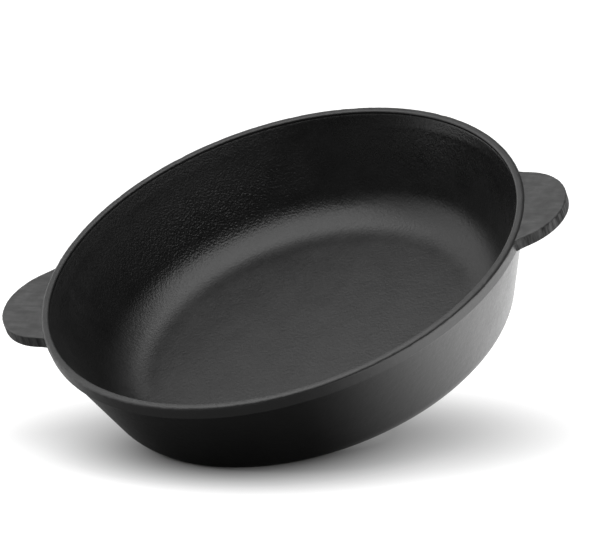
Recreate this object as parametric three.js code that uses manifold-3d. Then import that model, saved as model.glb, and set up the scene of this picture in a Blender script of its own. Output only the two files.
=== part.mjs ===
// Cast iron braiser: a shallow round pan with a flared wall, a thick collar round the
// mouth and two solid tab ears. Millimetres, +Z up, origin at the centre of the base,
// ears on the X axis. The real pan is one casting, split here where its features meet.
import * as THREE from 'three';
import { mergeVertices } from 'three/addons/utils/BufferGeometryUtils.js';
import Module from 'manifold-3d';

// Driving dimensions of the pan
const rimDiameter = 300;
const panHeight = 67.5;
const baseDiameter = 249.2;
const floorThickness = 5;
const wallThickness = 5.6;
const outerCornerRadius = 14.5;
const innerCornerRadius = 27.5;
const cornerLand = 1.5;

// Driving dimensions of the collar round the mouth
const collarHeight = 8.5;
const collarDraft = 0.8;
const collarStep = 1.4;
const rimWidth = 5.1;
const rimOuterRound = 1.2;
const rimInnerRound = 0.6;
const landHeight = 2;
const landRecess = 0.4;

// Driving dimensions of the ears
const earReach = 25.3;
const earRadius = 36;
const earThickness = 7.4;
const earDrop = 1.1;
const earEdgeBevel = 0.7;
const earGap = 0.3;

// Fineness of the round surfaces
const turnSteps = 72;
const cornerSteps = 6;
const edgeSteps = 3;
const earOutlineSteps = 28;
const weldTolerance = 1e-4;

// Finish of the iron
const ironMetalness = 0.3;
const castFinish = { color: 0x282828, roughness: 0.6 };
const groundFinish = { color: 0x343434, roughness: 0.55 };

// Sizes that follow from the driving ones
const rimRadius = rimDiameter / 2;
const mouthRadius = rimRadius - rimWidth;
const collarBottom = panHeight - collarHeight;
const collarBottomRadius = rimRadius - collarDraft;
const wallTopRadius = collarBottomRadius - collarStep;
const baseRadius = baseDiameter / 2;
const wallFlare = (wallTopRadius - baseRadius) / collarBottom;
const wallWidth = wallThickness * Math.hypot(1, wallFlare);
const outsideRadiusAt = (z) => baseRadius + wallFlare * z;
const insideRadiusAt = (z) => outsideRadiusAt(z) - wallWidth;
const wallLean = Math.atan(wallFlare);
const cornerReach = Math.tan((Math.PI / 2 - wallLean) / 2);
const floorRadius = insideRadiusAt(floorThickness) - innerCornerRadius * cornerReach;
const filletTop = floorThickness + innerCornerRadius * (1 - Math.sin(wallLean));
const cornerTop = filletTop + cornerLand;

const wasm = await Module();
wasm.setup();

// One corner of a profile: its radius from the axis, its height, and its rounding
function corner(r, z, round = 0, steps = edgeSteps) {
  return { at: new THREE.Vector2(r, z), round, steps };
}

// Points of the arc that rounds a corner between its two neighbours
function roundedCorner(before, { at, round, steps }, after) {
  if (round === 0) return [at.clone()];
  const toBefore = before.at.clone().sub(at).normalize();
  const toAfter = after.at.clone().sub(at).normalize();
  const half = Math.acos(toBefore.dot(toAfter)) / 2;
  const bisector = toBefore.clone().add(toAfter).normalize();
  const centre = at.clone().addScaledVector(bisector, round / Math.sin(half));
  const start = at.clone().addScaledVector(toBefore, round / Math.tan(half)).sub(centre);
  const turn = Math.sign(toAfter.cross(toBefore)) * (Math.PI - 2 * half);
  const points = [];
  for (let i = 0; i <= steps; i += 1) {
    const spoke = start.clone().rotateAround(new THREE.Vector2(), (turn * i) / steps);
    points.push(spoke.add(centre));
  }
  return points;
}

// A profile turned once round the Z axis. Its corners run out along the bottom, up the
// outside and back along the top and the inside.
function turned(corners) {
  const count = corners.length;
  const points = corners.flatMap((item, i) =>
    roundedCorner(corners[(i + count - 1) % count], item, corners[(i + 1) % count]));
  const startsOnAxis = points[0].x === 0;
  if (!startsOnAxis) points.push(points[0].clone());
  return new THREE.LatheGeometry(points, turnSteps).rotateX(Math.PI / 2);
}

function toSolid(geometry) {
  const bare = geometry.clone();
  bare.deleteAttribute('normal');
  bare.deleteAttribute('uv');
  const merged = mergeVertices(bare, weldTolerance);
  const mesh = new wasm.Mesh({
    numProp: 3,
    vertProperties: new Float32Array(merged.attributes.position.array),
    triVerts: new Uint32Array(merged.index.array),
  });
  mesh.merge();
  return new wasm.Manifold(mesh);
}

function toGeometry(solid) {
  const { vertProperties, triVerts, numProp } = solid.getMesh();
  const geometry = new THREE.BufferGeometry();
  geometry.setAttribute('position', new THREE.BufferAttribute(vertProperties, numProp));
  geometry.setIndex(new THREE.BufferAttribute(triVerts, 1));
  geometry.computeVertexNormals();
  return geometry;
}

// Flat bottom plate, out to the foot of the inside fillet
function floorGeometry() {
  return turned([
    corner(0, 0),
    corner(floorRadius, 0),
    corner(floorRadius, floorThickness),
    corner(0, floorThickness),
  ]);
}

// Rounded bottom corner with the big fillet inside it, and a little straight wall above
function baseCornerGeometry() {
  return turned([
    corner(floorRadius, 0),
    corner(baseRadius, 0, outerCornerRadius, cornerSteps),
    corner(outsideRadiusAt(cornerTop), cornerTop),
    corner(insideRadiusAt(cornerTop), cornerTop),
    corner(insideRadiusAt(floorThickness), floorThickness, innerCornerRadius, cornerSteps),
  ]);
}

// Straight flared wall, from the corner up to the underside of the collar
function wallGeometry() {
  return turned([
    corner(insideRadiusAt(cornerTop), cornerTop),
    corner(outsideRadiusAt(cornerTop), cornerTop),
    corner(wallTopRadius, collarBottom),
    corner(insideRadiusAt(collarBottom), collarBottom),
  ]);
}

// Thick band round the mouth, with a flat ground top and a short turned land inside
function collarGeometry() {
  const landBottom = panHeight - landHeight;
  return turned([
    corner(insideRadiusAt(collarBottom), collarBottom),
    corner(collarBottomRadius, collarBottom),
    corner(rimRadius, panHeight, rimOuterRound),
    corner(mouthRadius, panHeight, rimInnerRound),
    corner(mouthRadius, landBottom),
    corner(mouthRadius - landRecess, landBottom - landRecess),
  ]);
}

// Everything inside the pan's outer surface, grown by the gap that the ears keep to it
function panEnvelope() {
  const margin = earThickness;
  return turned([
    corner(0, -margin),
    corner(baseRadius + earGap, -margin),
    corner(baseRadius + earGap, 0),
    corner(wallTopRadius + earGap, collarBottom),
    corner(collarBottomRadius + earGap, collarBottom),
    corner(rimRadius + earGap, panHeight),
    corner(rimRadius + earGap, panHeight + margin),
    corner(0, panHeight + margin),
  ]);
}

// Round-ended tab that starts at the pan's axis, trimmed by the outside of the pan
function earGeometry() {
  const roundCentre = rimRadius + earReach - earRadius;
  const outline = new THREE.Shape();
  outline.moveTo(0, -earRadius);
  outline.absarc(roundCentre, 0, earRadius, -Math.PI / 2, Math.PI / 2);
  outline.lineTo(0, earRadius);
  const tab = new THREE.ExtrudeGeometry(outline, {
    depth: earThickness - 2 * earEdgeBevel,
    curveSegments: earOutlineSteps,
    bevelThickness: earEdgeBevel,
    bevelSize: earEdgeBevel,
    bevelOffset: -earEdgeBevel,
    bevelSegments: edgeSteps,
  });
  tab.translate(0, 0, panHeight - earDrop - earThickness + earEdgeBevel);
  return toGeometry(toSolid(tab).subtract(toSolid(panEnvelope())));
}

function piece(name, geometry, finish) {
  const material = new THREE.MeshStandardMaterial({ ...finish, metalness: ironMetalness });
  const mesh = new THREE.Mesh(geometry, material);
  mesh.name = name;
  return mesh;
}

const pan = new THREE.Group();
pan.add(piece('pan_floor', floorGeometry(), castFinish));
pan.add(piece('base_corner', baseCornerGeometry(), castFinish));
pan.add(piece('side_wall', wallGeometry(), castFinish));
pan.add(piece('rim_collar', collarGeometry(), groundFinish));

const rightEar = new THREE.Group();
rightEar.add(piece('right_ear', earGeometry(), groundFinish));

const leftEar = new THREE.Group();
leftEar.rotation.z = Math.PI;
leftEar.add(piece('left_ear', earGeometry(), groundFinish));

const braiser = new THREE.Group();
braiser.add(pan, rightEar, leftEar);

export default braiser;
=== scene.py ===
import math
from collections import namedtuple

import bpy
import numpy as np
from mathutils import Matrix, Vector, noise


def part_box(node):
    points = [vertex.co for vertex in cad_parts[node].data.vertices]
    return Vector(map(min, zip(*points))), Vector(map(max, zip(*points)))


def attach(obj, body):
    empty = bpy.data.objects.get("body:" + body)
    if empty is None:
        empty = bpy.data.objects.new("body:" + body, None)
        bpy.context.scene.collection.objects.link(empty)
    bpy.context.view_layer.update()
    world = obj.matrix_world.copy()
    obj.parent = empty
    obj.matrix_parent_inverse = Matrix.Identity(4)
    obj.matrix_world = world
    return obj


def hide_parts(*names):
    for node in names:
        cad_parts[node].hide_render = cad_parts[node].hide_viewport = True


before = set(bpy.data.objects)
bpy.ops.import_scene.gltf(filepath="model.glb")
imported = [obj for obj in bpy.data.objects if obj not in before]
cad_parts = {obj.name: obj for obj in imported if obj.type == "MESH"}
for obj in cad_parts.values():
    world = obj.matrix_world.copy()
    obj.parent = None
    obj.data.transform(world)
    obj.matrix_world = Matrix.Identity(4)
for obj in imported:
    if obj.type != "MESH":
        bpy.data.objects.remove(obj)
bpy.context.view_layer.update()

MM = 0.001

# Sizes read from the frame
floor_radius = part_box("pan_floor")[1].x
floor_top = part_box("pan_floor")[1].z
corner_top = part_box("base_corner")[1].z
wall_top_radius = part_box("side_wall")[1].x
collar_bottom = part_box("rim_collar")[0].z
pan_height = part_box("rim_collar")[1].z
ear_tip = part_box("right_ear")[1].x
ear_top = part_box("right_ear")[1].z
ear_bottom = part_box("right_ear")[0].z

# Sizes of the casting that no box gives
rim_radius = 150 * MM
rim_width = 5.1 * MM
collar_draft = 0.8 * MM
base_radius = 124.6 * MM
wall_thickness = 5.6 * MM
inner_corner = 27.5 * MM
outer_corner = 14.5 * MM
rim_outer_round = 1.7 * MM
rim_inner_round = 1.3 * MM
collar_edge_round = 0.5 * MM
land_height = 2.0 * MM
land_recess = 0.12 * MM
ear_radius = 36 * MM
ear_edge_round = 0.6 * MM
ear_root_depth = 2.0 * MM
ear_root_flare = 2.0 * MM

# Fineness of the meshes
TURN_STEPS = 720
SKIN_STEP = 1.2 * MM
FLOOR_STEP = 2.0 * MM
BASE_STEP = 4.0 * MM
EDGE_STEP = 0.2 * MM
RIM_STEP = 3 * EDGE_STEP
LEAST_ROUND_STEPS = 6
STEP_TOLERANCE = 0.001
LEAST_LENGTH = 1e-12
EAR_TURN_STEPS = 480
EAR_FACE_RINGS = 22
EAR_EDGE_RINGS = 5
EAR_SIDE_RINGS = 10

# Fractal noise: how fast its octaves fade, and the step in size between them
NOISE_FADE = 0.9
NOISE_STEP = 2.1

# Depth and grain size of the cast skin
wave_size = 32 * MM
wave_depth = 0.10 * MM
wrinkle_size = 3.4 * MM
wrinkle_depth = 0.12 * MM
patch_size = 70 * MM
floor_ring_depth = 0.14 * MM
floor_ring_width = 3.5 * MM
floor_ring_inset = 2 * MM
collar_fade = 3 * MM

# Share of the wrinkles: in a middling patch, its swing, at the foot of the inside fillet, and
# on the flat floor, the base and the outside
PATCH_MIDDLE = 0.65
PATCH_SWING = 0.5
FOOT_WRINKLES = 0.25
PLAIN_WRINKLES = 0.45

# What the collar loses of the wrinkles and of the waves
COLLAR_WRINKLE_LOSS = 0.85
COLLAR_WAVE_LOSS = 0.7

# Sideways part of the normal: from the fillet's foot to the wall, and from no ring to the full one
WALL_LEAN = (0.35, 0.8)
RING_LEAN = (0.5, 0.2)

# Depth and spacing of the grinding marks on the ears' edges and of the nicks in the rim's edge
stroke_size = 2.2 * MM
stroke_depth = 0.30 * MM
STROKE_SLANT = 0.25
STROKE_ROW = 0.5
flat_size = 9 * MM
flat_depth = 0.10 * MM
chip_size = 4 * MM
chip_depth = 0.9 * MM
nick_size = 5 * MM
nick_depth = 0.25 * MM
nick_reach = 2.5 * MM
nick_full = 1 * MM

# Camera of the photograph, about the pan's own frame
CAMERA_AIM = Vector((0.62, 22.27, 34.15)) * MM
CAMERA_DISTANCE = 3.80
CAMERA_AZIMUTH = math.radians(14.36)
CAMERA_ELEVATION = math.radians(32.11)
CAMERA_ROLL = math.radians(-19.46)
CAMERA_LENS = 379.85
CAMERA_CLIP_END = 50

# Sizes that follow from the ones above
wall_flare = (wall_top_radius - base_radius) / collar_bottom
wall_width = wall_thickness * math.hypot(1, wall_flare)
mouth_radius = rim_radius - rim_width
land_bottom = pan_height - land_height
ear_centre = ear_tip - ear_radius
flare_start = 0.6 * ear_radius
flare_full = 0.9 * ear_radius


def outside_radius(z):
    return base_radius + wall_flare * z


def inside_radius(z):
    return outside_radius(z) - wall_width


# Profile of the pan: one line from the axis over the floor, up the inside, over the rim,
# down the outside and back along the base. Spacing and piece are those of the points that
# follow the corner.
Corner = namedtuple("Corner", "radius height rounding spacing piece")
CORNERS = [
    Corner(0, floor_top, 0, FLOOR_STEP, "pan_floor"),
    Corner(floor_radius, floor_top, 0, SKIN_STEP, "base_corner"),
    Corner(inside_radius(floor_top), floor_top, inner_corner, SKIN_STEP, "base_corner"),
    Corner(inside_radius(corner_top), corner_top, 0, SKIN_STEP, "side_wall"),
    Corner(inside_radius(collar_bottom), collar_bottom, 0, SKIN_STEP, "rim_collar"),
    Corner(mouth_radius - land_recess, land_bottom - land_recess, 0, EDGE_STEP, "rim_collar"),
    Corner(mouth_radius, land_bottom, 0, EDGE_STEP, "rim_collar"),
    Corner(mouth_radius, pan_height, rim_inner_round, RIM_STEP, "rim_collar"),
    Corner(rim_radius, pan_height, rim_outer_round, RIM_STEP, "rim_collar"),
    Corner(rim_radius - collar_draft, collar_bottom, collar_edge_round, EDGE_STEP, "rim_collar"),
    Corner(wall_top_radius, collar_bottom, 0, SKIN_STEP, "side_wall"),
    Corner(outside_radius(corner_top), corner_top, 0, SKIN_STEP, "base_corner"),
    Corner(base_radius, 0, outer_corner, SKIN_STEP, "base_corner"),
    Corner(floor_radius, 0, 0, BASE_STEP, "pan_floor"),
    Corner(0, 0, 0, BASE_STEP, "pan_floor"),
]


def rounded(before, corner, after):
    """Points of the arc that rounds one corner of the profile."""
    at = np.array(corner[:2])
    radius = corner.rounding
    to_before = np.array(before[:2]) - at
    to_after = np.array(after[:2]) - at
    to_before = to_before / np.linalg.norm(to_before)
    to_after = to_after / np.linalg.norm(to_after)
    half = math.acos(float(to_before @ to_after)) / 2
    bisector = to_before + to_after
    centre = at + bisector / np.linalg.norm(bisector) * radius / math.sin(half)
    start = at + to_before * radius / math.tan(half) - centre
    across = to_after[0] * to_before[1] - to_after[1] * to_before[0]
    turn = math.copysign(math.pi - 2 * half, across)
    count = max(LEAST_ROUND_STEPS, math.ceil(abs(turn) * radius / SKIN_STEP))
    angles = turn * np.arange(count + 1) / count
    cosines, sines = np.cos(angles), np.sin(angles)
    along = centre[0] + start[0] * cosines - start[1] * sines
    up = centre[1] + start[0] * sines + start[1] * cosines
    return np.stack([along, up], axis=1)


def pan_profile():
    """The sampled profile, and the piece of the stretch that follows each point."""
    points = [np.array(CORNERS[0][:2], float)]
    owners = [CORNERS[0].piece]
    for i in range(1, len(CORNERS)):
        before, corner = CORNERS[i - 1], CORNERS[i]
        if corner.rounding > 0:
            stretch = rounded(before, corner, CORNERS[i + 1])
        else:
            stretch = np.array([corner[:2]], float)
        last = points[-1]
        gap = stretch[0] - last
        count = math.ceil(np.linalg.norm(gap) / before.spacing - STEP_TOLERANCE)
        for k in range(1, count + 1):
            points.append(last + gap * k / count)
            owners.append(before.piece)
        points.extend(stretch[1:])
        owners.extend([before.piece] * (len(stretch) - 1))
        owners[-1] = corner.piece
    return np.array(points), owners


def unit(vectors):
    return vectors / np.maximum(np.linalg.norm(vectors, axis=-1, keepdims=True), LEAST_LENGTH)


def heading(points):
    """Mean direction of the steps before and after each point of a line, or of each ring."""
    steps = unit(np.diff(points, axis=0))
    return unit(np.concatenate([steps[:1], steps]) + np.concatenate([steps, steps[-1:]]))


def profile_normals(points):
    """Unit normals that point out of the metal, in the profile's plane."""
    ahead = heading(points)
    return np.stack([-ahead[:, 1], ahead[:, 0]], axis=1)


def grid_normals(rings):
    """Unit normals of the whole pan's surface, which its pieces share at their seams."""
    around = np.roll(rings, -1, axis=1) - np.roll(rings, 1, axis=1)
    normals = unit(np.cross(heading(rings), around))
    normals[0] = (0, 0, 1)
    normals[-1] = (0, 0, -1)
    return normals


def smooth_step(low, high, value):
    t = np.clip((value - low) / (high - low), 0, 1)
    return t * t * (3 - 2 * t)


def noise_at(points, size, octaves):
    """Fractal noise from -1 to 1 at an array of points."""
    scale = 1 / size
    values = [noise.fractal(Vector(p) * scale, NOISE_FADE, NOISE_STEP, octaves) for p in points]
    return np.clip(values, -1, 1)


def swell_at(points, size, octaves):
    """The same noise from 0 to 1."""
    return 0.5 + 0.5 * noise_at(points, size, octaves)


def skin_depth(points, radius, height, outward):
    """How far the cast skin lies under the nominal surface, along one ring of points."""
    on_wall = smooth_step(*WALL_LEAN, abs(outward))
    on_collar = smooth_step(collar_bottom - collar_fade, collar_bottom, height)
    if outward < 0:
        wrinkled = FOOT_WRINKLES + (1 - FOOT_WRINKLES) * on_wall
    else:
        wrinkled = PLAIN_WRINKLES
    wrinkled = wrinkled * (1 - COLLAR_WRINKLE_LOSS * on_collar)
    ridges = np.abs(noise_at(points, wrinkle_size, octaves=3))
    patches = PATCH_MIDDLE + PATCH_SWING * noise_at(points, patch_size, octaves=2)
    depth = wave_depth * swell_at(points, wave_size, octaves=2) * (1 - COLLAR_WAVE_LOSS * on_collar)
    depth = depth + wrinkle_depth * ridges * patches * wrinkled
    ring = math.exp(-(((radius - floor_radius + floor_ring_inset) / floor_ring_width) ** 2))
    ring = ring * (height > floor_top / 2)
    ring = ring * smooth_step(*RING_LEAN, abs(outward))
    at_edge = smooth_step(pan_height - nick_reach, pan_height - nick_full, height)
    at_edge = at_edge * smooth_step(rim_radius - nick_reach, rim_radius - nick_full, radius)
    nicks = np.maximum(noise_at(points, nick_size, octaves=3), 0)
    return depth + floor_ring_depth * ring + nick_depth * nicks * at_edge


def pan_grid():
    """Points of the whole pan's surface, one ring for each point of the profile."""
    profile, owners = pan_profile()
    normals = profile_normals(profile)
    angles = np.arange(TURN_STEPS) * 2 * math.pi / TURN_STEPS
    turn = np.stack([np.cos(angles), np.sin(angles)], axis=1)
    rings = []
    for (radius, height), (outward, upward) in zip(profile, normals):
        ring = np.column_stack([radius * turn, np.full(TURN_STEPS, height)])
        facing = np.column_stack([outward * turn, np.full(TURN_STEPS, upward)])
        depth = skin_depth(ring, radius, height, outward)
        rings.append(ring - facing * depth[:, None])
    return np.array(rings), owners


def new_object(name, points, faces, normals=None):
    """A smooth-shaded mesh object, with the vertex normals given or worked out from its faces."""
    mesh = bpy.data.meshes.new(name)
    mesh.from_pydata([tuple(p) for p in points], [], faces)
    mesh.polygons.foreach_set("use_smooth", [True] * len(mesh.polygons))
    mesh.validate()
    if normals is not None:
        mesh.normals_split_custom_set_from_vertices([tuple(n) for n in normals])
    obj = bpy.data.objects.new(name, mesh)
    bpy.context.scene.collection.objects.link(obj)
    return obj


def ring_band(low, high, count):
    """Quads between two rings of count points that start at vertices low and high."""
    quads = []
    for j in range(count):
        k = (j + 1) % count
        quads.append((low + j, high + j, high + k, low + k))
    return quads


def ring_fan(middle, ring, count):
    """Triangles from a middle vertex to a ring of count points that starts at vertex ring."""
    return [(middle, ring + j, ring + (j + 1) % count) for j in range(count)]


def runs_of(owners, piece):
    """First and last profile point of each stretch that a piece owns."""
    runs = []
    for i in range(len(owners) - 1):
        if owners[i] != piece:
            continue
        if runs and runs[-1][1] == i:
            runs[-1][1] = i + 1
        else:
            runs.append([i, i + 1])
    return runs


def pan_piece(name, node, rings, normals, owners):
    """A closed mesh of one node's stretches of the surface, joined inside the metal."""
    points, facing, faces, starts = [], [], [], []
    for first, last in runs_of(owners, node):
        for i in range(first, last + 1):
            on_axis = np.allclose(rings[i][:, :2], 0)
            size = 1 if on_axis else TURN_STEPS
            starts.append((len(points), size))
            points.extend(rings[i][:size])
            facing.extend(normals[i][:size])
    for (low, low_size), (high, high_size) in zip(starts, starts[1:] + starts[:1]):
        if low_size == high_size == TURN_STEPS:
            faces.extend(ring_band(low, high, TURN_STEPS))
        elif high_size == TURN_STEPS:
            faces.extend(ring_fan(low, high, TURN_STEPS))
        elif low_size == TURN_STEPS:
            faces.extend(fan[::-1] for fan in ring_fan(high, low, TURN_STEPS))
    return new_object(name, points, faces, facing)


def ear_outline():
    """The ear's middle, directions round it, and how far the outline lies from it in each."""
    middle = (ear_tip + rim_radius) / 2
    angles = np.arange(EAR_TURN_STEPS) * 2 * math.pi / EAR_TURN_STEPS
    cosines, sines = np.cos(angles), np.sin(angles)
    shift = middle - ear_centre
    to_tip = -shift * cosines + np.sqrt(ear_radius**2 - (shift * sines) ** 2)
    root = rim_radius - ear_root_depth
    inside = root**2 - (middle * sines) ** 2
    meets = (inside > 0) & (cosines < 0)
    to_root = -middle * cosines - np.sqrt(np.maximum(inside, 0))
    reach = np.where(meets, np.minimum(to_tip, to_root), to_tip)
    from_rim = np.hypot(middle + reach * cosines, reach * sines) - rim_radius
    at_side = smooth_step(flare_start, flare_full, np.abs(reach * sines))
    flare = ear_root_flare * np.exp(-np.maximum(from_rim, 0) / ear_root_flare) * at_side
    return middle, cosines, sines, reach + flare


def ear_rings():
    """Share of the reach, bulge and height of each ring, from the ear's top to its underside."""
    edge = ear_edge_round
    rings = [(t, 0.0, ear_top) for t in np.linspace(0, 1, EAR_FACE_RINGS)[1:]]
    for k in range(1, EAR_EDGE_RINGS + 1):
        angle = k / EAR_EDGE_RINGS * math.pi / 2
        rings.append((1.0, edge * math.sin(angle), ear_top - edge * (1 - math.cos(angle))))
    for z in np.linspace(ear_top - edge, ear_bottom + edge, EAR_SIDE_RINGS)[1:]:
        rings.append((1.0, edge, z))
    for k in range(1, EAR_EDGE_RINGS + 1):
        angle = k / EAR_EDGE_RINGS * math.pi / 2
        rings.append((1.0, edge * math.cos(angle), ear_bottom + edge * (1 - math.sin(angle))))
    rings += [(t, 0.0, ear_bottom) for t in np.linspace(1, 0, EAR_FACE_RINGS)[1:-1]]
    return rings


def ear_piece(name, side):
    """A tab ear with ground edges; side is 1 for the right ear and -1 for the left."""
    middle, cosines, sines, reach = ear_outline()
    along = np.cumsum(np.full(EAR_TURN_STEPS, 2 * math.pi / EAR_TURN_STEPS)) * ear_radius
    points = [(middle, 0, ear_top)]
    for share, bulge, z in ear_rings():
        slant = along + STROKE_SLANT * (z - ear_bottom)
        marks = np.column_stack([slant, np.full_like(slant, side * STROKE_ROW), np.zeros_like(slant)])
        strokes = np.abs(noise_at(marks, stroke_size, octaves=2))
        flats = swell_at(marks, flat_size, octaves=1)
        edge = bulge / ear_edge_round
        distance = (reach - ear_edge_round) * share + bulge
        distance = distance - edge * (stroke_depth * strokes + flat_depth * flats)
        chips = np.maximum(noise_at(marks, chip_size, octaves=3), 0)
        chips = chips * edge * smooth_step(ear_bottom, ear_top, z)
        ring = np.column_stack([middle + distance * cosines, distance * sines, z - chip_depth * chips])
        waves = swell_at(ring * (side, side, 1), wave_size / 2, octaves=2)
        toward = np.sign((ear_top + ear_bottom) / 2 - z) * (1 - edge)
        ring[:, 2] += toward * wave_depth * waves
        points.extend(ring)
    points.append((middle, 0, ear_bottom))
    points = np.array(points) * (side, side, 1)
    starts = range(1, len(points) - 1, EAR_TURN_STEPS)
    faces = ring_fan(0, starts[0], EAR_TURN_STEPS)
    for low, high in zip(starts, starts[1:]):
        faces.extend(ring_band(low, high, EAR_TURN_STEPS))
    faces.extend(fan[::-1] for fan in ring_fan(len(points) - 1, starts[-1], EAR_TURN_STEPS))
    return new_object(name, points, faces)


# Materials: the refractive index that gives the blackened iron its sheen, the usual range of
# the noise texture's values, and half the width in which the inside turns to the outside
IRON_IOR = 1.67
NOISE_LOW = 0.3
NOISE_HIGH = 0.7
inside_fade = 1 * MM

# Creases inside at the left: size, depth, and their share at the faint end of each fade
crease_size = 1.2 * MM
crease_depth = 0.66 * MM
CREASES_AT_FLOOR = 0.10
CREASES_AT_RIM = 0.5
CREASES_FAR_LEFT = 0.4
CREASES_RIGHT = 0.2
floor_fade = (6 * MM, 26 * MM)
rim_fade = (38 * MM, 54 * MM)
far_left_fade = (-130 * MM, -85 * MM)
right_fade = (-55 * MM, 30 * MM)

# Hammered waves outside, and the grain all over
hammer_size = 7 * MM
hammer_depth = 0.14 * MM
grain_size = 1.8 * MM
grain_depth = 0.16 * MM
GRAIN_OUTSIDE = 0.45
GRAIN_INSIDE = 0.95

# Cast skin: tone, roughness, and where the roughness rises and falls
blotch_size = 18 * MM
speckle_size = 2.2 * MM
SKIN_TONE = (0.008, 0.013)
SKIN_ROUGHNESS = (0.31, 0.36)
SPECKLE_SHARE = (0.90, 1.10)
DULLNESS_SHARE = (0.4, 1.6)
DULL_LEFT = 1
DULL_RIGHT = -0.4
dull_heights = (22 * MM, 50 * MM)
dull_places = (-60 * MM, 30 * MM)

# Collar: tone inside and outside, and tone and roughness of the ground top
COLLAR_INSIDE_TONE = 0.009
COLLAR_OUTSIDE_TONE = 0.040
RIM_TOP_TONE = (0.018, 0.030)
RIM_TOP_ROUGHNESS = (0.40, 0.46)
rim_blotch_size = 6 * MM
rim_top_fade = (pan_height - 1.0 * MM, pan_height - 0.5 * MM)

# Ears: streaks on the faces, upright stripes round the edges, and a fine grain
EAR_FACE_TONE = (0.025, 0.064)
EAR_FACE_ROUGHNESS = (0.44, 0.40)
EAR_EDGE_TONE = (0.003, 0.030)
EAR_EDGE_ROUGHNESS = (0.95, 0.45)
EAR_GRAIN_STRENGTH = 0.5
STREAK_SHARE = (0.65, 1.35)
STREAK_STRETCH = (5, 1, 1)
STREAK_TURN = math.radians(-23)
STRIPE_STRETCH = (1, 1, 8)
ear_blotch_size = 9 * MM
streak_size = 2.6 * MM
streak_depth = 0.1 * MM
stripe_size = 2.2 * MM
stripe_depth = 0.35 * MM
ear_grain_size = 0.8 * MM
ear_grain_depth = 0.06 * MM
ear_face_fade = (ear_top - 0.7 * MM, ear_top - 0.3 * MM)


class Nodes:
    """Short calls for building one material's node tree."""

    def __init__(self, name):
        self.material = bpy.data.materials.new(name)
        self.material.use_nodes = True
        self.tree = self.material.node_tree
        self.shader = self.tree.nodes["Principled BSDF"]
        self.place = self.tree.nodes.new("ShaderNodeTexCoord")
        self.split = self.tree.nodes.new("ShaderNodeSeparateXYZ")
        self.link(self.place.outputs["Object"], self.split.inputs["Vector"])

    def link(self, output, socket):
        self.tree.links.new(output, socket)

    def noise(self, size, detail, roughness, stretch=(1, 1, 1), turn=0):
        """Fractal noise, stretched along each axis and then turned about Z."""
        node = self.tree.nodes.new("ShaderNodeTexNoise")
        node.inputs["Scale"].default_value = 1 / size
        node.inputs["Detail"].default_value = detail
        node.inputs["Roughness"].default_value = roughness
        mapping = self.tree.nodes.new("ShaderNodeMapping")
        mapping.vector_type = "TEXTURE"
        mapping.inputs["Rotation"].default_value = (0, 0, turn)
        mapping.inputs["Scale"].default_value = stretch
        self.link(self.place.outputs["Object"], mapping.inputs["Vector"])
        self.link(mapping.outputs["Vector"], node.inputs["Vector"])
        return node.outputs["Fac"]

    def inside(self):
        """1 inside the pan and under its base, 0 on the outside of its wall and collar."""
        flat = self.tree.nodes.new("ShaderNodeVectorMath")
        flat.operation = "MULTIPLY"
        flat.inputs[1].default_value = (1, 1, 0)
        self.link(self.place.outputs["Object"], flat.inputs[0])
        radius = self.tree.nodes.new("ShaderNodeVectorMath")
        radius.operation = "LENGTH"
        self.link(flat.outputs["Vector"], radius.inputs[0])
        level = self.tree.nodes.new("ShaderNodeMath")
        level.operation = "MULTIPLY_ADD"
        level.inputs[1].default_value = -wall_flare
        self.link(self.split.outputs["Z"], level.inputs[0])
        self.link(radius.outputs["Value"], level.inputs[2])
        middle = base_radius - wall_width / 2
        return self.spread(level.outputs["Value"], 1, 0, middle - inside_fade, middle + inside_fade)

    def spread(self, value, low, high, from_low=NOISE_LOW, from_high=NOISE_HIGH):
        """A value's range brought to low and high."""
        node = self.tree.nodes.new("ShaderNodeMapRange")
        node.inputs["From Min"].default_value = from_low
        node.inputs["From Max"].default_value = from_high
        node.inputs["To Min"].default_value = low
        node.inputs["To Max"].default_value = high
        self.link(value, node.inputs["Value"])
        return node.outputs["Result"]

    def opposite(self, value):
        return self.spread(value, 1, 0, 0, 1)

    def math(self, operation, first, second):
        node = self.tree.nodes.new("ShaderNodeMath")
        node.operation = operation
        self.link(first, node.inputs[0])
        self.link(second, node.inputs[1])
        return node.outputs["Value"]

    def blend(self, factor, low, high):
        node = self.tree.nodes.new("ShaderNodeMix")
        for socket, value in zip(("Factor", "A", "B"), (factor, low, high)):
            self.link(value, node.inputs[socket])
        return node.outputs["Result"]

    def bump(self, height, depth, strength, below=None):
        """A normal bumped by a height; the strength is a number or a node's output."""
        node = self.tree.nodes.new("ShaderNodeBump")
        if isinstance(strength, float):
            node.inputs["Strength"].default_value = strength
        else:
            self.link(strength, node.inputs["Strength"])
        node.inputs["Distance"].default_value = depth
        self.link(height, node.inputs["Height"])
        if below:
            self.link(below, node.inputs["Normal"])
        return node.outputs["Normal"]


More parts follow.
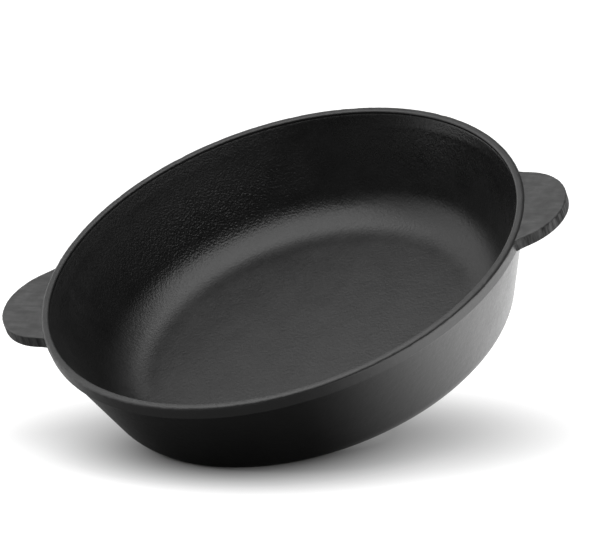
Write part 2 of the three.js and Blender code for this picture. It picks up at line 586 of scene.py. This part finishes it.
def cast_bump(n):
    """Sand-cast grain, with leathery creases inside at the left and hammered waves outside."""
    inside = n.inside()
    across = n.split.outputs["X"]
    height = n.split.outputs["Z"]
    from_floor = n.spread(height, CREASES_AT_FLOOR, 1, *floor_fade)
    to_rim = n.spread(height, 1, CREASES_AT_RIM, *rim_fade)
    from_left = n.spread(across, CREASES_FAR_LEFT, 1, *far_left_fade)
    to_right = n.spread(across, 1, CREASES_RIGHT, *right_fade)
    creased = inside
    for share in (from_floor, to_rim, from_left, to_right):
        creased = n.math("MULTIPLY", creased, share)
    creases = n.bump(n.noise(crease_size, detail=1, roughness=0.5), crease_depth, creased)
    hammered = n.noise(hammer_size, detail=3, roughness=0.6)
    waves = n.bump(hammered, hammer_depth, n.opposite(inside), creases)
    grain = n.noise(grain_size, detail=3, roughness=0.6)
    return n.bump(grain, grain_depth, n.spread(inside, GRAIN_OUTSIDE, GRAIN_INSIDE, 0, 1), waves)


def skin_roughness(n, blotch):
    """Speckled roughness of the cast skin, duller high up inside at the left, sleeker at the right."""
    speckle = n.spread(n.noise(speckle_size, detail=2, roughness=0.5), *SPECKLE_SHARE)
    plain = n.math("MULTIPLY", n.spread(blotch, *SKIN_ROUGHNESS), speckle)
    high = n.spread(n.split.outputs["Z"], 0, 1, *dull_heights)
    leftward = n.spread(n.split.outputs["X"], DULL_LEFT, DULL_RIGHT, *dull_places)
    share = n.math("MULTIPLY", n.math("MULTIPLY", high, leftward), n.inside())
    return n.math("MULTIPLY", plain, n.spread(share, *DULLNESS_SHARE, -1, 1))


def cast_skin():
    """Black sand-cast skin with a low sheen."""
    n = Nodes("cast_skin")
    blotch = n.noise(blotch_size, detail=4, roughness=0.6)
    n.link(n.spread(blotch, *SKIN_TONE), n.shader.inputs["Base Color"])
    n.link(skin_roughness(n, blotch), n.shader.inputs["Roughness"])
    n.shader.inputs["IOR"].default_value = IRON_IOR
    n.link(cast_bump(n), n.shader.inputs["Normal"])
    return n.material


def collar_skin():
    """The cast skin's sheen with a plain tone inside, a paler band outside and a dull ground top."""
    n = Nodes("collar_skin")
    rim_blotch = n.noise(rim_blotch_size, detail=3, roughness=0.6)
    on_top = n.spread(n.split.outputs["Z"], 0, 1, *rim_top_fade)
    side_tone = n.spread(n.opposite(n.inside()), COLLAR_INSIDE_TONE, COLLAR_OUTSIDE_TONE, 0, 1)
    n.link(n.blend(on_top, side_tone, n.spread(rim_blotch, *RIM_TOP_TONE)), n.shader.inputs["Base Color"])
    side = skin_roughness(n, n.noise(blotch_size, detail=4, roughness=0.6))
    n.link(n.blend(on_top, side, n.spread(rim_blotch, *RIM_TOP_ROUGHNESS)), n.shader.inputs["Roughness"])
    n.shader.inputs["IOR"].default_value = IRON_IOR
    n.link(cast_bump(n), n.shader.inputs["Normal"])
    return n.material


def ear_skin():
    """Blackened iron that was ground: streaked faces, and edges with dark upright stripes."""
    n = Nodes("ear_skin")
    on_top = n.spread(n.split.outputs["Z"], 0, 1, *ear_face_fade)
    blotch = n.noise(ear_blotch_size, detail=4, roughness=0.6)
    streaks = n.noise(streak_size, detail=2, roughness=0.5, stretch=STREAK_STRETCH, turn=STREAK_TURN)
    stripes = n.noise(stripe_size, detail=3, roughness=0.65, stretch=STRIPE_STRETCH)
    face_tone = n.math("MULTIPLY", n.spread(blotch, *EAR_FACE_TONE), n.spread(streaks, *STREAK_SHARE))
    tone = n.blend(on_top, n.spread(stripes, *EAR_EDGE_TONE), face_tone)
    n.link(tone, n.shader.inputs["Base Color"])
    edge_roughness = n.spread(stripes, *EAR_EDGE_ROUGHNESS)
    face_roughness = n.spread(blotch, *EAR_FACE_ROUGHNESS)
    n.link(n.blend(on_top, edge_roughness, face_roughness), n.shader.inputs["Roughness"])
    n.shader.inputs["IOR"].default_value = IRON_IOR
    strokes = n.bump(streaks, streak_depth, on_top)
    strokes = n.bump(stripes, stripe_depth, n.opposite(on_top), strokes)
    grain = n.noise(ear_grain_size, detail=3, roughness=0.6)
    n.link(n.bump(grain, ear_grain_depth, EAR_GRAIN_STRENGTH, strokes), n.shader.inputs["Normal"])
    return n.material


# Pieces
rings, owners = pan_grid()
normals = grid_normals(rings)
pan_pieces = {}
for node, words in (
    ("pan_floor", "pan_floor_cast"),
    ("base_corner", "base_corner_cast"),
    ("side_wall", "side_wall_cast"),
    ("rim_collar", "rim_collar_ground"),
):
    pan_pieces[node] = pan_piece(words, node, rings, normals, owners)
pan_pieces["right_ear"] = ear_piece("right_ear_ground", 1)
pan_pieces["left_ear"] = ear_piece("left_ear_ground", -1)

skin = cast_skin()
collar_iron = collar_skin()
ear_iron = ear_skin()
FINISH = {
    "pan_floor": (skin, "black_iron"),
    "base_corner": (skin, "black_iron"),
    "side_wall": (skin, "black_iron"),
    "rim_collar": (collar_iron, "ground_black_iron"),
    "right_ear": (ear_iron, "ground_black_iron"),
    "left_ear": (ear_iron, "ground_black_iron"),
}
for node, piece in pan_pieces.items():
    material, slot = FINISH[node]
    piece.data.materials.append(material)
    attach(piece, "root")
    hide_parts(node)


# Camera
def camera_axes():
    """Right, up and back directions of the photograph's camera."""
    az, el, roll = CAMERA_AZIMUTH, CAMERA_ELEVATION, CAMERA_ROLL
    back = Vector((math.sin(az) * math.cos(el), -math.cos(az) * math.cos(el), math.sin(el)))
    level = Vector((math.cos(az), math.sin(az), 0))
    rise = back.cross(level)
    right = level * math.cos(roll) + rise * math.sin(roll)
    return right, back.cross(right), back


right, up, back = camera_axes()
camera_data = bpy.data.cameras.new("camera")
camera_data.lens = CAMERA_LENS
camera_data.clip_end = CAMERA_CLIP_END
camera = bpy.data.objects.new("camera", camera_data)
place = Matrix((right, up, back)).transposed().to_4x4()
place.translation = CAMERA_AIM + back * CAMERA_DISTANCE
camera.matrix_world = place
bpy.context.scene.collection.objects.link(camera)
bpy.context.scene.camera = camera

# Stage: a white floor that the pan leans on with one edge of its base
FLOOR_RISE = math.radians(12)
FLOOR_HALF_SIZE = 6.0
stand = (up * math.cos(FLOOR_RISE) + back * math.sin(FLOOR_RISE)).normalized()
away = stand.cross(right)
stand_level = min(float(np.min(ring @ np.array(stand))) for ring in rings)

# Floor for the camera: white that the lamps shade, and a white glow with a painted soft shadow in an
# ellipse round the pan and a painted contact shadow where the pan stands; in metres to the right and away
LIT_WHITE = 0.45
PAINTED_SHADOW_CENTRE = (-0.025, -0.014)
PAINTED_SHADOW_HALF_AXES = (0.185, 0.139)
PAINTED_SHADOW_TURN = math.radians(10)
PAINTED_SHADOW_FADE = (0.40, 1.16)
PAINTED_SHADOW_INNER_WHITE = 0.2
PAINTED_CONTACT_SHADOW_CENTRE = (-0.048, -0.088)
PAINTED_CONTACT_SHADOW_HALF_AXES = (0.128, 0.128)
PAINTED_CONTACT_SHADOW_DEPTH = 0.38

# Floor for the pan: a dark table that ends in front, and glows at the right and the rear left
TABLE_TONE = 0.15
TABLE_FRONT = (-0.40, -0.25)
RIGHT_GLOW = 1.72
RIGHT_GLOW_START = (0.0, 0.22)
RIGHT_GLOW_FRONT = (-0.56, -0.29)
RIGHT_GLOW_END = (0.4, 1.1)
RIGHT_GLOW_END_SHARE = 0.6
LEFT_GLOW = 0.7
LEFT_GLOW_START = (-0.05, -0.31)
LEFT_GLOW_FRONT = (-0.10, 0.02)


def studio_direction(turn, rise):
    """A direction by its turn to the right from straight away and its rise, in degrees."""
    turn, rise = math.radians(turn), math.radians(rise)
    flat = right * math.sin(turn) + away * math.cos(turn)
    return flat * math.cos(rise) + stand * math.sin(rise)


def stage_place():
    """Placement whose axes are the stage's: to the right, away and up."""
    return Matrix((right, away, stand)).transposed().to_4x4()


def stage_floor():
    half = FLOOR_HALF_SIZE
    mesh = bpy.data.meshes.new("floor")
    corners = [(-half, -half, 0), (half, -half, 0), (half, half, 0), (-half, half, 0)]
    mesh.from_pydata(corners, [], [(0, 1, 2, 3)])
    floor = bpy.data.objects.new("floor", mesh)
    bpy.context.scene.collection.objects.link(floor)
    place = stage_place()
    place.translation = stand * stand_level
    floor.matrix_world = place
    return floor


class StageNodes:
    """Short calls for the node trees of the floor and the world."""

    def __init__(self, tree):
        self.tree = tree
        self.place = tree.nodes.new("ShaderNodeTexCoord")
        self.to_camera = tree.nodes.new("ShaderNodeLightPath").outputs["Is Camera Ray"]

    def along(self, output, direction):
        node = self.tree.nodes.new("ShaderNodeVectorMath")
        node.operation = "DOT_PRODUCT"
        node.inputs[1].default_value = direction
        self.tree.links.new(self.place.outputs[output], node.inputs[0])
        return node.outputs["Value"]

    def ellipse(self, centre, half_axes, turn=0):
        """Distance from the centre of an ellipse on the floor, 1 at its outline."""
        mapping = self.tree.nodes.new("ShaderNodeMapping")
        mapping.vector_type = "TEXTURE"
        mapping.inputs["Location"].default_value = (*centre, 0)
        mapping.inputs["Rotation"].default_value = (0, 0, turn)
        mapping.inputs["Scale"].default_value = (*half_axes, 1)
        self.tree.links.new(self.place.outputs["Object"], mapping.inputs["Vector"])
        length = self.tree.nodes.new("ShaderNodeVectorMath")
        length.operation = "LENGTH"
        self.tree.links.new(mapping.outputs["Vector"], length.inputs[0])
        return length.outputs["Value"]

    def rising(self, source, start, end, low, high, shape="SMOOTHSTEP"):
        node = self.tree.nodes.new("ShaderNodeMapRange")
        node.interpolation_type = shape
        for name, value in zip(("From Min", "From Max", "To Min", "To Max"), (start, end, low, high)):
            node.inputs[name].default_value = value
        self.tree.links.new(source, node.inputs["Value"])
        return node.outputs["Result"]

    def math(self, operation, first, second):
        node = self.tree.nodes.new("ShaderNodeMath")
        node.operation = operation
        for socket, value in zip(node.inputs, (first, second)):
            self.tree.links.new(value, socket)
        return node.outputs["Value"]

    def choose(self, otherwise, for_camera):
        """A value for camera rays and another for the rest."""
        node = self.tree.nodes.new("ShaderNodeMix")
        self.tree.links.new(self.to_camera, node.inputs["Factor"])
        for socket, value in zip(("A", "B"), (otherwise, for_camera)):
            if isinstance(value, float):
                node.inputs[socket].default_value = value
            else:
                self.tree.links.new(value, node.inputs[socket])
        return node.outputs["Result"]


def floor_material():
    """White floor that the pan shades, clear from below so that it hides nothing.

    To the camera it also carries a painted shadow round and under the pan. To the pan it is a dark
    floor that glows to the right and to the rear left."""
    material = bpy.data.materials.new("floor_white")
    material.use_nodes = True
    tree = material.node_tree
    tree.nodes.clear()
    f = StageNodes(tree)
    across = f.along("Object", (1, 0, 0))
    beyond = f.along("Object", (0, 1, 0))
    diffuse = tree.nodes.new("ShaderNodeBsdfDiffuse")
    table = f.rising(beyond, *TABLE_FRONT, 0, TABLE_TONE)
    tree.links.new(f.choose(table, LIT_WHITE), diffuse.inputs["Color"])
    right_glow = f.rising(across, *RIGHT_GLOW_START, 0, RIGHT_GLOW)
    right_glow = f.math("MULTIPLY", right_glow, f.rising(beyond, *RIGHT_GLOW_FRONT, 0, 1))
    right_end = f.rising(across, *RIGHT_GLOW_END, 1, RIGHT_GLOW_END_SHARE)
    right_glow = f.math("MULTIPLY", right_glow, right_end)
    left_glow = f.rising(across, *LEFT_GLOW_START, 0, LEFT_GLOW)
    left_glow = f.math("MULTIPLY", left_glow, f.rising(beyond, *LEFT_GLOW_FRONT, 0, 1))
    # Painted shadows: the camera's white glow dims in an ellipse round the pan and more where it stands
    painted_shadow_distance = f.ellipse(PAINTED_SHADOW_CENTRE, PAINTED_SHADOW_HALF_AXES, PAINTED_SHADOW_TURN)
    pale = f.rising(painted_shadow_distance, *PAINTED_SHADOW_FADE, PAINTED_SHADOW_INNER_WHITE, 1, "LINEAR")
    painted_contact_shadow = f.rising(f.ellipse(PAINTED_CONTACT_SHADOW_CENTRE, PAINTED_CONTACT_SHADOW_HALF_AXES), 0, 1, PAINTED_CONTACT_SHADOW_DEPTH, 0)
    white_with_painted_shadows = f.math("SUBTRACT", pale, painted_contact_shadow)
    glow = tree.nodes.new("ShaderNodeEmission")
    tree.links.new(f.choose(f.math("ADD", right_glow, left_glow), white_with_painted_shadows), glow.inputs["Strength"])
    both = tree.nodes.new("ShaderNodeAddShader")
    tree.links.new(diffuse.outputs[0], both.inputs[0])
    tree.links.new(glow.outputs[0], both.inputs[1])
    clear = tree.nodes.new("ShaderNodeBsdfTransparent")
    geometry = tree.nodes.new("ShaderNodeNewGeometry")
    mix = tree.nodes.new("ShaderNodeMixShader")
    tree.links.new(geometry.outputs["Backfacing"], mix.inputs["Fac"])
    tree.links.new(both.outputs[0], mix.inputs[1])
    tree.links.new(clear.outputs[0], mix.inputs[2])
    out = tree.nodes.new("ShaderNodeOutputMaterial")
    tree.links.new(mix.outputs[0], out.inputs["Surface"])
    return material


stage_floor().data.materials.append(floor_material())

# Lamps
SOFTBOX_HEIGHT = 1.1


def overhead_softbox(name, centre, size, turn, radiance):
    """A level area lamp over the pan; centre is to the right of the pan and beyond it."""
    data = bpy.data.lights.new(name, "AREA")
    data.shape = "RECTANGLE"
    data.size, data.size_y = size
    data.energy = radiance * math.pi * data.size * data.size_y
    lamp = bpy.data.objects.new(name, data)
    place = stage_place() @ Matrix.Rotation(turn, 4, "Z")
    place.translation = right * centre[0] + away * centre[1] + stand * SOFTBOX_HEIGHT
    lamp.matrix_world = place
    lamp.visible_camera = False
    bpy.context.scene.collection.objects.link(lamp)


overhead_softbox(
    "main_softbox", centre=(-0.57, -0.92), size=(2.60, 1.83), turn=math.radians(49), radiance=1.43
)
overhead_softbox("key_softbox", centre=(-0.29, 0.31), size=(0.42, 0.40), turn=0, radiance=1.67)

# Room that the pan sees: direction and brightness of each pale area, and the cosines between
# which it fades in, or out at the top of the rear
LEFT_PANEL = studio_direction(-62, 21)
LEFT_LIGHT = 0.96
LEFT_FADE = (0.69, 1.0)
SIDE_PANEL = studio_direction(-112, 8)
SIDE_LIGHT = 0.36
SIDE_FADE = (0.80, 1.0)
CEILING_LIGHT = (0.02, 0.20)
CEILING_FADE = (0.35, 1.0)
REAR_LIGHT = 2.1
REAR_FADE = (0.3, 1.2)
REAR_TOP_FADE = (0.17, 0.5)


def world_light():
    """White to the camera; to the pan a dark room, pale at the left, overhead and low at the rear."""
    world = bpy.data.worlds.new("studio")
    bpy.context.scene.world = world
    world.use_nodes = True
    tree = world.node_tree
    w = StageNodes(tree)
    left = w.rising(w.along("Generated", LEFT_PANEL), *LEFT_FADE, 0, LEFT_LIGHT)
    side = w.rising(w.along("Generated", SIDE_PANEL), *SIDE_FADE, 0, SIDE_LIGHT)
    ceiling = w.rising(w.along("Generated", stand), *CEILING_FADE, *CEILING_LIGHT)
    rear = w.rising(w.along("Generated", away), *REAR_FADE, 0, REAR_LIGHT)
    low = w.rising(w.along("Generated", stand), *REAR_TOP_FADE, 1, 0)
    panels = w.math("ADD", left, side)
    room = w.math("ADD", panels, w.math("ADD", ceiling, w.math("MULTIPLY", rear, low)))
    light = tree.nodes["Background"]
    light.inputs["Color"].default_value = (1, 1, 1, 1)
    tree.links.new(w.choose(room, 1.0), light.inputs["Strength"])


world_light()
bpy.context.scene.view_settings.view_transform = "Standard"
